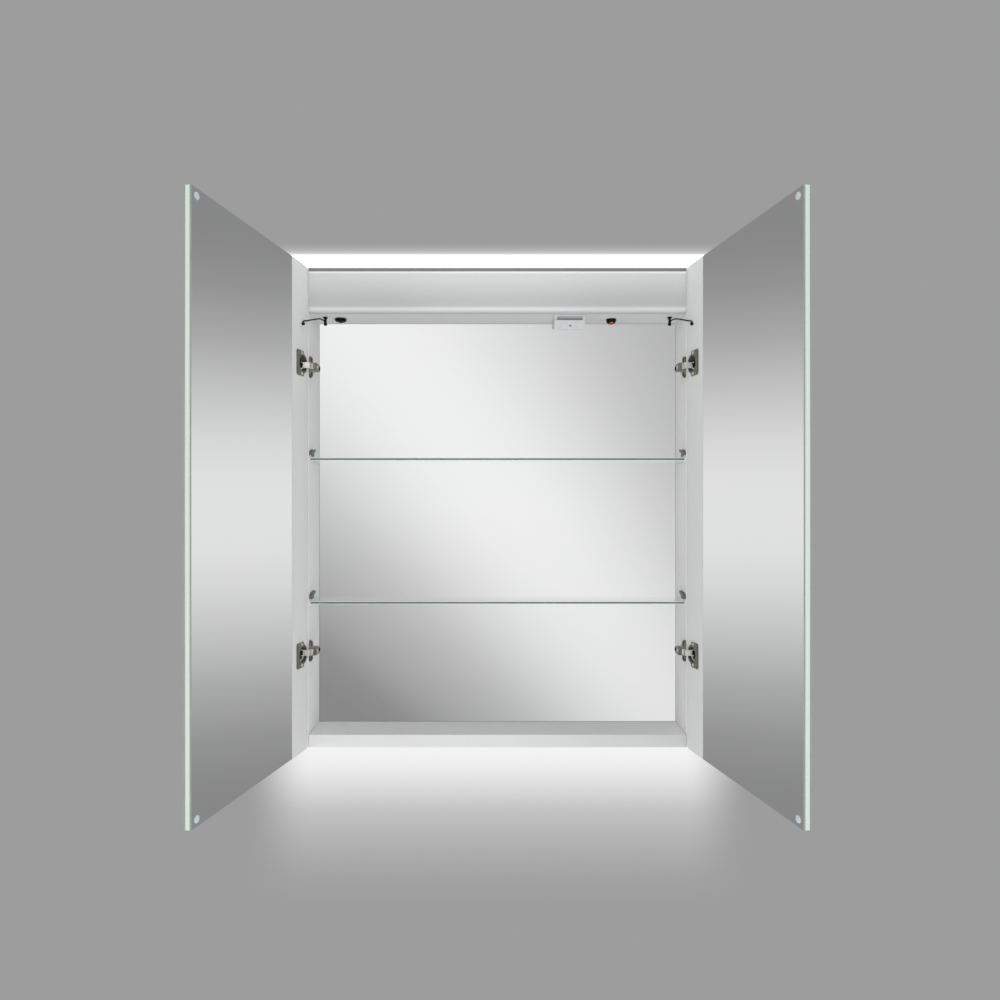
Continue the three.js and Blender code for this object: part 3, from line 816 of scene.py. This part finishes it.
def side_axes(x, z):
    """For an outline in the y-z plane: its thickness runs along x, from x, and its middle is at z."""
    return Matrix(((0, 0, 1, x), (1, 0, 0, 0), (0, 1, 0, z), (0, 0, 0, 1)))


def door_at(z):
    """The open left door's axes with x along the door, y up the door, z out of its inner face."""
    swap = Matrix(((1, 0, 0, 0), (0, 0, 1, 0), (0, 1, 0, 0), (0, 0, 0, 1)))
    return DOOR @ Matrix.Translation((0, 0, z)) @ swap


def plate_reach(angle):
    """How far the cup's screw plate reaches from the cup's middle at an angle, in the door's plane."""
    c, s = math.cos(angle), math.sin(angle)
    x0, x1 = (end - CUP_U for end in PLATE_ENDS)
    half, corner = PLATE_HALF, PLATE_CORNER
    to_side = (x1 if c > 0 else x0) / c if c else math.inf
    to_end = half / abs(s) if s else math.inf
    distance = min(to_side, to_end)
    x, y = distance * c, abs(distance * s)
    if x > x1 - corner and y > half - corner:
        dot = c * (x1 - corner) + abs(s) * (half - corner)
        inside = dot * dot - (x1 - corner) ** 2 - (half - corner) ** 2 + corner * corner
        distance = dot + math.sqrt(max(inside, 0))
    return max(PLATE_RIM, distance)


def open_ring(outer, inner):
    """An outline between the radius outer(angle) and the radius inner, open towards the hinge."""
    steps = 96
    gap = math.asin(SLOT_HALF / CUP_INNER)
    angles = [-math.pi + gap + (2 * math.pi - 2 * gap) * i / steps for i in range(steps + 1)]
    out = [(CUP_U + outer(a) * math.cos(a), outer(a) * math.sin(a)) for a in angles]
    back = [(CUP_U + inner * math.cos(a), inner * math.sin(a)) for a in reversed(angles)]
    out[0] = (out[0][0], -SLOT_HALF)
    out[-1] = (out[-1][0], SLOT_HALF)
    return out + back


def add_hinge_cups():
    for level in LEVELS:
        base = door_at(HINGE_ZS[level])
        plate = open_ring(plate_reach, CUP_INNER)
        wall = open_ring(lambda a: CUP_OUTER, CUP_INNER)
        hinge_piece(level, "cup_shell", lambda: merged(
            prism(plate, PLATE_FACE, PLATE_FACE + PLATE_THICK, base, 0.25 * MM),
            prism(wall, -CUP_DEEP, PLATE_FACE + 0.2 * MM, base),
        ), "nickel", "{side}_door", "hinge_cup")
        add_cup_trim(level, base)


def add_cup_trim(level, base):
    """A painted highlight along the lower rim, a dark lining of painted shade and two screws of one cup."""
    # painted highlight: a pale nickel bead along the lower rim
    crescent = [(RIM_U + RIM_RADIUS * math.cos(a), RIM_RADIUS * math.sin(a))
                for a in [math.radians(t) for t in range(-170, -29, 5)]]
    rim_path = [base @ Vector((x, y, -RIM_SUNK)) for x, y in crescent]
    hinge_piece(level, "cup_rim_highlight", lambda: tube(rim_path, 0.8 * MM, 10), "nickel_painted_light", "{side}_door")
    # painted shade: a dark floor and lining inside the cup
    shade_sheet_outer, shade_sheet_thick = CUP_INNER - 0.05 * MM, 0.4 * MM
    shade_sheet = open_ring(lambda a: shade_sheet_outer, shade_sheet_outer - shade_sheet_thick)
    well = [(CUP_U + shade_sheet_outer * math.cos(a), shade_sheet_outer * math.sin(a)) for a in around(48)]
    hinge_piece(level, "cup_shade_lining", lambda: merged(
        prism(well, -CUP_DEEP - 0.1 * MM, -CUP_DEEP + 0.3 * MM, base),
        prism(shade_sheet, -CUP_DEEP + 0.35 * MM, PLATE_FACE + 0.9 * MM, base),
    ), f"{level}_cup_inside_shade", "{side}_door")
    spots = [(CUP_SCREW_U, sign * CUP_SCREW_OFF) for sign in (-1, 1)]
    top = PLATE_FACE + PLATE_THICK - 0.1 * MM
    head_radius, head_high = 2.6 * MM, 1.3 * MM
    # the cup screws take the pale nickel as painted light
    hinge_piece(level, "cup_screws", lambda: merged(*[
        cross_screw(base @ Matrix.Translation((x, y, top)), head_radius, head_high)
        for x, y in spots
    ]), "nickel_painted_light", "{side}_door")


def add_hinge_arms():
    """The fixed arm: a bent, covered leg out to the pivot and a deeper body along the side panel."""
    leg_half, link_half = 4 * MM, 3.4 * MM
    for level in LEVELS:
        z = HINGE_ZS[level]
        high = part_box(f"left_{level}_hinge_arm")[1]
        outer_x = high.x - ARM_DEEP
        cover_x = outer_x + COVER_THICK
        front = DOOR_FACE_Y - 7.2 * MM
        inside = DOOR_FACE_Y - 3.7 * MM
        tip = PIVOT.x + 2.6 * MM
        bend = 3.2 * MM
        cover_rear = DOOR_FACE_Y + 3.7 * MM
        leg = [(tip, front), *arc((cover_x - bend, front + bend), bend, -90, 0, 8),
               (cover_x, cover_rear), (outer_x, cover_rear), (outer_x, inside), (tip, inside),
               *arc((tip + 0.2 * MM, (front + inside) / 2), 1.75 * MM, 90, 270, 8)[1:-1]]
        base = Matrix.Translation((0, 0, z))
        # the arm cover takes the pale nickel as painted light
        hinge_piece(level, "arm_cover", lambda: prism(leg, -leg_half, leg_half, base, 0.7 * MM, 3),
                    "nickel_painted_light", node="hinge_arm")
        link = rounded_rectangle(PIVOT.x - 1.4 * MM, tip + 1 * MM, front + 0.4 * MM,
                                 inside - 0.4 * MM, 1.2 * MM)
        # the pivot link is near black as painted shade
        hinge_piece(level, "arm_link", lambda: prism(link, -link_half, link_half, base, 0.3 * MM),
                    "well")
        add_arm_body(level, z, outer_x, high)


def add_arm_body(level, z, outer_x, high):
    """The deep rear of the arm, narrowing to its clip end, and its two adjusting screws."""
    front = DOOR_FACE_Y + 4 * MM
    rear = high.y
    turn = side_axes(outer_x, z)
    half, clip_half = 5.6 * MM, 4 * MM
    neck = rear - 8 * MM
    corner = 1.5 * MM
    outline = [(front, -half), (neck, -half), (rear - corner, -clip_half),
               (rear, corner - clip_half), (rear, clip_half - corner),
               (rear - corner, clip_half), (neck, half), (front, half)]
    hinge_piece(level, "arm_body",
                lambda: prism(outline, 0.1 * MM, ARM_DEEP - 1.2 * MM, turn, 0.8 * MM, 3),
                "nickel")
    head_radius, head_high = 3.1 * MM, 1.5 * MM
    top = high.x - head_high
    # the front screw takes the pale nickel as painted light, the rear one near black as painted shade
    for index, (y, finish) in enumerate(((front + 6 * MM, "nickel_painted_light"), (neck, "well"))):
        hinge_piece(level, f"arm_screw_{index + 1}",
                    lambda: cross_screw(along((1, 0, 0), (top, y, z)), head_radius, head_high,
                                        arm=0.7, width=0.3, depth=0.7),
                    finish)


def add_hinge_plates():
    """The mounting plate on the side panel, with a screw in each wing."""
    for level in LEVELS:
        z = HINGE_ZS[level]
        low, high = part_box(f"left_{level}_hinge_plate")
        turn = side_axes(low.x, z)
        half, wing = 5 * MM, 16 * MM
        wing_front = low.y
        wing_back = low.y + 12 * MM
        radius = 5.5 * MM
        outline = [*arc((wing_front + radius, radius - wing), radius, 180, 270, 6),
                   *arc((wing_back - radius, radius - wing), radius, 270, 360, 6),
                   (wing_back, -half), (high.y, -half), (high.y, half), (wing_back, half),
                   *arc((wing_back - radius, wing - radius), radius, 0, 90, 6),
                   *arc((wing_front + radius, wing - radius), radius, 90, 180, 6)]
        hinge_piece(level, "plate_body",
                    lambda: prism(outline, 0, high.x - low.x, turn, 0.5 * MM, 2),
                    "nickel", node="hinge_plate")
        middle = (wing_front + wing_back) / 2
        screw_off, head_radius, head_high = 10.6 * MM, 3.7 * MM, 1.6 * MM
        # the plate screws take the darkest nickel as painted shade
        hinge_piece(level, "plate_screws", lambda: merged(*[
            cross_screw(along((1, 0, 0), (high.x - 0.2 * MM, middle, z + sign * screw_off)),
                        head_radius, head_high) for sign in (-1, 1)
        ]), "nickel_painted_shade")


# ---------- head fittings
def ceiling_place(node):
    """Where the middle of a round fitting meets the ceiling."""
    low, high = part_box(node)
    return Matrix.Translation(((low.x + high.x) / 2, (low.y + high.y) / 2, CEILING_SEAT))


def add_sensors():
    place = ceiling_place("dimmer_sensor")
    profile = in_mm((0, 13), (5.5, 13), (5.5, 0), (8.8, 0), (9, -0.4), (9, -2.6), (8.4, -3.6),
                    (6.8, -4.6), (4.4, -5.2), (2.8, -5.4), (2.4, -5.8), (1.7, -6.3), (0, -6.6))
    add_piece(lathe(profile, place, 56), "dimmer_sensor_cap", "black", "cabinet",
              "black_plastic", "dimmer_sensor")

    dress("motion_sensor_housing", "black")
    low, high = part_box("motion_sensor_lens")
    middle = (low + high) / 2
    radius = (high.z - low.z) / 2
    ball = [(radius * math.sin(math.radians(a)), -radius * math.cos(math.radians(a)))
            for a in range(0, 181, 10)]
    ball[0], ball[-1] = (0, -radius), (0, radius)
    add_piece(lathe(ball, Matrix.Translation(middle), 40), "motion_sensor_window", "lens",
              "cabinet", "red_lens", "motion_sensor_lens", smooth_angle=60)


def add_socket():
    refined("socket_housing", "white", 0.5 * MM)
    refined("socket_insert", "white", 0.3 * MM)
    refined("socket_flap", "white", 0.35 * MM)
    low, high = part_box("socket_flap")
    stud_in, stud_drop = 23.6 * MM, 1.1 * MM
    stud_place = along((0, -1, 0), (low.x + stud_in, low.y, (low.z + high.z) / 2 - stud_drop))
    profile = in_mm((0, -0.2), (1.6, -0.2), (1.6, 0.05), (1.3, 0.15), (0, 0.2))
    add_piece(lathe(profile, stud_place, 24), "socket_flap_stud", "slate", "socket_flap",
              "white_plastic")
    housing_low, housing_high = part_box("socket_housing")
    slot_in, slot_deep, slot_foot, slot_top = 4.1 * MM, 2.2 * MM, 0.2 * MM, 5.2 * MM
    slot = rounded_rectangle(housing_low.x + slot_in, housing_high.x - slot_in,
                             housing_low.z + slot_foot, housing_low.z + slot_top, 0.4 * MM)
    turn = Matrix(((1, 0, 0, 0), (0, 0, 1, housing_low.y + slot_deep), (0, 1, 0, 0), (0, 0, 0, 1)))
    # a grey sheet in the finger slot, as painted shade
    add_piece(prism(slot, 0, 0.8 * MM, turn), "socket_slot_shade_sheet", "slot_shade_sheet", "cabinet",
              "white_plastic")


def add_glands():
    place = ceiling_place("left_lead_gland")
    gland = in_mm((0, 8), (2.4, 8), (2.4, 0), (3.1, 0), (3.3, -0.3), (3.3, -1.6), (2.9, -2.2),
                  (2, -2.8), (1.9, -8.6), (2.2, -9.2), (2.6, -10), (2.6, -12), (2.2, -12.6),
                  (1.2, -13), (0, -13))
    both_sides(lambda: lathe(gland, place, 32), "{side}_gland_body",
               "rubber", "cabinet", "black_rubber", "{side}_lead_gland")

    height, along_door = 270.6 * MM, 19.7 * MM
    base = door_at(height) @ Matrix.Translation((along_door, 0, 0))
    grommet = in_mm((0, -3), (1.7, -3), (1.7, 0.3), (2, 0.3), (2.4, 0.8), (2.6, 1.7),
                    (2.55, 2.4), (2.3, 3.2), (1.8, 3.9), (1, 4.35), (0, 4.5))
    both_sides(lambda: lathe(grommet, base, 32), "{side}_grommet_body", "rubber",
               "{side}_door", "black_rubber", "{side}_door_lead_grommet")


# ---------- door leads
LEAD_ROUTE = [
    (-265.5, -82.6, 285.6), (-266.5, -84.8, 286.6), (-267.8, -87.6, 287.1),
    (-269.5, -91.4, 287), (-271.4, -95.6, 286.2), (-273.3, -100.2, 284.8),
    (-275.2, -104.8, 283.2), (-277, -109.4, 281.6), (-278.8, -113.8, 280),
    (-280.5, -117.8, 278.5), (-282.1, -121.6, 277.1), (-283.5, -124.8, 276),
    (-284.6, -127.4, 275.4), (-285.3, -128.9, 274.8), (-285.7, -129.9, 274.1),
]
LEAD_DIAMETER = 2 * MM


def smooth_path(points, steps):
    """A Catmull-Rom line through the points, with steps pieces between each two."""
    ends = [points[0] * 2 - points[1], *points, points[-1] * 2 - points[-2]]
    line = []
    for a, b, c, d in zip(ends, ends[1:], ends[2:], ends[3:]):
        for i in range(steps):
            t = i / steps
            line.append(0.5 * (2 * b + (c - a) * t + (2 * a - 5 * b + 4 * c - d) * t * t
                               + (3 * b - a - 3 * c + d) * t ** 3))
    return line + [points[-1]]


def tube(path, radius, sides):
    """A round tube along a line, closed at both ends."""
    bm = bmesh.new()
    count = len(path)
    heading = (path[1] - path[0]).normalized()
    across = heading.orthogonal().normalized()
    rings = []
    for i, point in enumerate(path):
        new = (path[min(i + 1, count - 1)] - path[max(i - 1, 0)]).normalized()
        across = (heading.rotation_difference(new) @ across).normalized()
        heading = new
        up = heading.cross(across)
        rings.append([
            bm.verts.new(point + radius * (math.cos(a) * across + math.sin(a) * up))
            for a in around(sides)
        ])
    for first, second in zip(rings, rings[1:]):
        join_rings(bm, first, second)
    bm.faces.new(rings[0])
    bm.faces.new(rings[-1])
    return bm


def add_leads():
    for side, sign in (("left", 1), ("right", -1)):
        points = [Vector((sign * x, y, z)) * MM for x, y, z in LEAD_ROUTE]
        line = smooth_path(points, 8)
        lead = finish_mesh(tube(line, LEAD_DIAMETER / 2, 16), f"{side}_lead_tube", "rubber")
        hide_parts(f"{side}_door_lead")
        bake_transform(lead)


# ---------- surroundings and light
def grey(value):
    """A linear grey from a screen value of 0 to 255."""
    share = value / 255
    return ((share + 0.055) / 1.055) ** 2.4


def plane(name, corners, material):
    mesh = bpy.data.meshes.new(name)
    mesh.from_pydata(corners, [], [(0, 1, 2, 3)])
    mesh.materials.append(material)
    made = bpy.data.objects.new(name, mesh)
    put_in_scene(made)
    return made


def only_camera_sees(obj):
    for flag in ("visible_diffuse", "visible_glossy", "visible_transmission", "visible_shadow",
                 "visible_volume_scatter"):
        setattr(obj, flag, False)


# The wall's brightness by height in metres: the painted glow of the lamp below and of the lamp above.
WALL_GREY = 157
WALL_PAINTED_GLOW = (
    (-0.648, 157), (-0.61, 162), (-0.573, 171), (-0.538, 181), (-0.498, 195), (-0.466, 215),
    (-0.44, 230), (-0.418, 240), (-0.398, 243), (-0.372, 243), (-0.3, 157),
    (0.3, 157), (0.372, 255), (0.415, 254), (0.4175, 206), (0.422, 182), (0.4275, 166),
    (0.435, 157),
)
PAINTED_GLOW_ENDS_BELOW = (0.306, 0.418)
PAINTED_GLOW_ENDS_ABOVE = (0.34, 0.42)


def wall_material():
    """Flat grey wall with a painted glow of the lamps above and below the cabinet, open from behind."""
    shader = Shader("wall", (0, 0, 0), 1.0)
    value = shader.value
    shader.set("Specular IOR Level", 0.0)
    x, _, z = shader.own_place()
    low, high = WALL_PAINTED_GLOW[0][0], WALL_PAINTED_GLOW[-1][0]
    share = shader.share(z, low, high)
    glow = shader.ramp(share, [
        ((height - low) / (high - low), (grey(level),) * 3) for height, level in WALL_PAINTED_GLOW])
    sideways = value("ABSOLUTE", x)
    reaches = []
    for start, end in (PAINTED_GLOW_ENDS_BELOW, PAINTED_GLOW_ENDS_ABOVE):
        fade = shader.node("ShaderNodeMapRange", interpolation_type="SMOOTHSTEP")
        fade.inputs["From Min"].default_value = end
        fade.inputs["From Max"].default_value = start
        shader.link(sideways, fade.inputs["Value"])
        reaches.append(fade.outputs["Result"])
    upper = value("GREATER_THAN", z, 0.0)
    lower = value("SUBTRACT", 1.0, upper)
    reach = value("ADD", value("MULTIPLY", lower, reaches[0]), value("MULTIPLY", upper, reaches[1]))
    shader.link(shader.mix(reach, (grey(WALL_GREY),) * 3, glow), "Emission Color")
    shader.set("Emission Strength", 1.0)
    behind = shader.node("ShaderNodeNewGeometry").outputs["Backfacing"]
    shader.link(value("SUBTRACT", 1.0, behind), "Alpha")
    return shader.material


def add_stage():
    reach = 6.0
    floor_z = -1.4
    y = 1 * MM
    wall = plane("wall", [(-reach, y, floor_z), (reach, y, floor_z), (reach, y, reach),
                          (-reach, y, reach)], wall_material())
    only_camera_sees(wall)
    pale = Shader("pale_floor", (0.62, 0.62, 0.615), 0.7)
    pale.mottle((0.62, 0.62, 0.615), 0.015, 2)
    floor = plane("floor", [(-reach, -reach, floor_z), (reach, -reach, floor_z),
                            (reach, reach, floor_z), (-reach, reach, floor_z)], pale.material)
    floor.visible_glossy = False
    floor.visible_shadow = False


def area_light(name, place, target, size, power):
    data = bpy.data.lights.new(name, "AREA")
    data.shape = "RECTANGLE"
    data.size, data.size_y = size
    data.energy = power
    light = bpy.data.objects.new(name, data)
    light.location = place
    light.rotation_euler = (Vector(target) - Vector(place)).to_track_quat("-Z", "Y").to_euler()
    light.visible_camera = False
    light.visible_glossy = False
    put_in_scene(light)


def add_lights():
    """Two broad soft lights wide enough apart to reach both sides, and one low for the ceiling."""
    for name, side in (("soft_left", -1), ("soft_right", 1)):
        area_light(name, (side * 2.3, -2.0, -0.1), (0, -0.1, 0), (1.6, 2.2), 30)
    area_light("soft_low", (0, -1.3, -2.2), (0, -0.1, 0.29), (1.6, 0.8), 14)


class WorldNodes(Shader):
    """The same short calls on the world's node tree."""

    def __init__(self, world):
        world.use_nodes = True
        self.tree = world.node_tree
        self.tree.nodes.clear()


MIRROR_SHARE = 0.9
AMBIENT = 0.7


def band(*stops):
    """Ramp stops from (place, screen value in a mirror)."""
    return [(place, (grey(value) / MIRROR_SHARE,) * 3) for place, value in stops]


# The doors show a level band, and the back mirror a slanting one that widens upwards.
BAND_ACROSS_DOORS = band((0.0, 225), (0.12, 223), (0.25, 214), (0.42, 194), (0.6, 168),
                         (0.78, 147), (0.92, 137), (1.0, 135))
BAND_ACROSS_BACK = band((0.0, 240), (0.095, 238), (0.185, 232), (0.295, 220), (0.38, 208),
                        (0.46, 197), (0.56, 186), (0.72, 170), (0.86, 150), (1.0, 144))
DOORS_DROP, DOORS_WIDTH = 0.007, 0.36
SLANT_X, SLANT_Z, SLANT_MIDDLE = 0.785, 0.604, 0.006
BACK_WIDTH, BACK_WIDENING, BACK_LEAST = 0.42, 0.38, 0.2
DIMMING, DIMMEST_AT = 0.44, -0.5
NEARLY_ZERO = 0.001


def add_world():
    """What mirrors show is a soft studio gradient; all other light is even."""
    world = bpy.data.worlds.new("studio")
    bpy.context.scene.world = world
    nodes = WorldNodes(world)
    value = nodes.value
    split = nodes.node("ShaderNodeSeparateXYZ")
    nodes.link(nodes.node("ShaderNodeTexCoord").outputs["Generated"], split.inputs[0])
    x, y, z = split.outputs

    level = value("SQRT", value("ADD", value("MULTIPLY", x, x), value("MULTIPLY", y, y)))
    rise = value("DIVIDE", z, value("MAXIMUM", level, NEARLY_ZERO))
    off_middle = value("ABSOLUTE", value("ADD", rise, DOORS_DROP))
    side_band = nodes.ramp(value("DIVIDE", off_middle, DOORS_WIDTH), BAND_ACROSS_DOORS)

    depth = value("MAXIMUM", value("ABSOLUTE", y), NEARLY_ZERO)
    steepness = value("DIVIDE", z, depth)
    across = value("MULTIPLY", value("DIVIDE", x, depth), SLANT_X)
    slant = value("ADD", across, value("MULTIPLY", steepness, SLANT_Z))
    off_slant = value("ABSOLUTE", value("SUBTRACT", slant, SLANT_MIDDLE))
    width = value("ADD", value("MULTIPLY", steepness, BACK_WIDENING), BACK_WIDTH)
    width = value("MAXIMUM", width, BACK_LEAST)
    back_band = nodes.ramp(value("DIVIDE", off_slant, width), BAND_ACROSS_BACK)
    below = value("MAXIMUM", value("MINIMUM", steepness, 0.0), DIMMEST_AT)
    dimmed = nodes.node("ShaderNodeVectorMath", operation="SCALE")
    nodes.link(back_band, dimmed.inputs[0])
    nodes.link(value("ADD", value("MULTIPLY", below, DIMMING), 1.0), dimmed.inputs["Scale"])

    towards_wall = value("GREATER_THAN", y, 0.0)
    reflected = nodes.mix(towards_wall, dimmed.outputs["Vector"], side_band)
    path = nodes.node("ShaderNodeLightPath")
    seen = nodes.mix(path.outputs["Is Glossy Ray"], (AMBIENT,) * 3, reflected)
    color = nodes.mix(path.outputs["Is Camera Ray"], seen, (grey(WALL_GREY),) * 3)
    background = nodes.node("ShaderNodeBackground")
    nodes.link(color, background.inputs["Color"])
    output = nodes.node("ShaderNodeOutputWorld")
    nodes.link(background.outputs[0], output.inputs[0])


def hide_object_from_mirrors():
    """The mirrors show only the soft studio band, so no piece of the cabinet appears in them."""
    for obj in bpy.context.scene.objects:
        if obj.type == "MESH":
            obj.visible_glossy = False


add_camera()
dress_body()
add_rear_fixings()
dress_lights()
dress_shelves()
dress_doors()
add_bumpers()
add_hinge_cups()
add_hinge_arms()
add_hinge_plates()
add_sensors()
add_socket()
add_glands()
add_leads()
add_stage()
add_lights()
add_world()
hide_object_from_mirrors()
bpy.context.scene.view_settings.view_transform = "Standard"
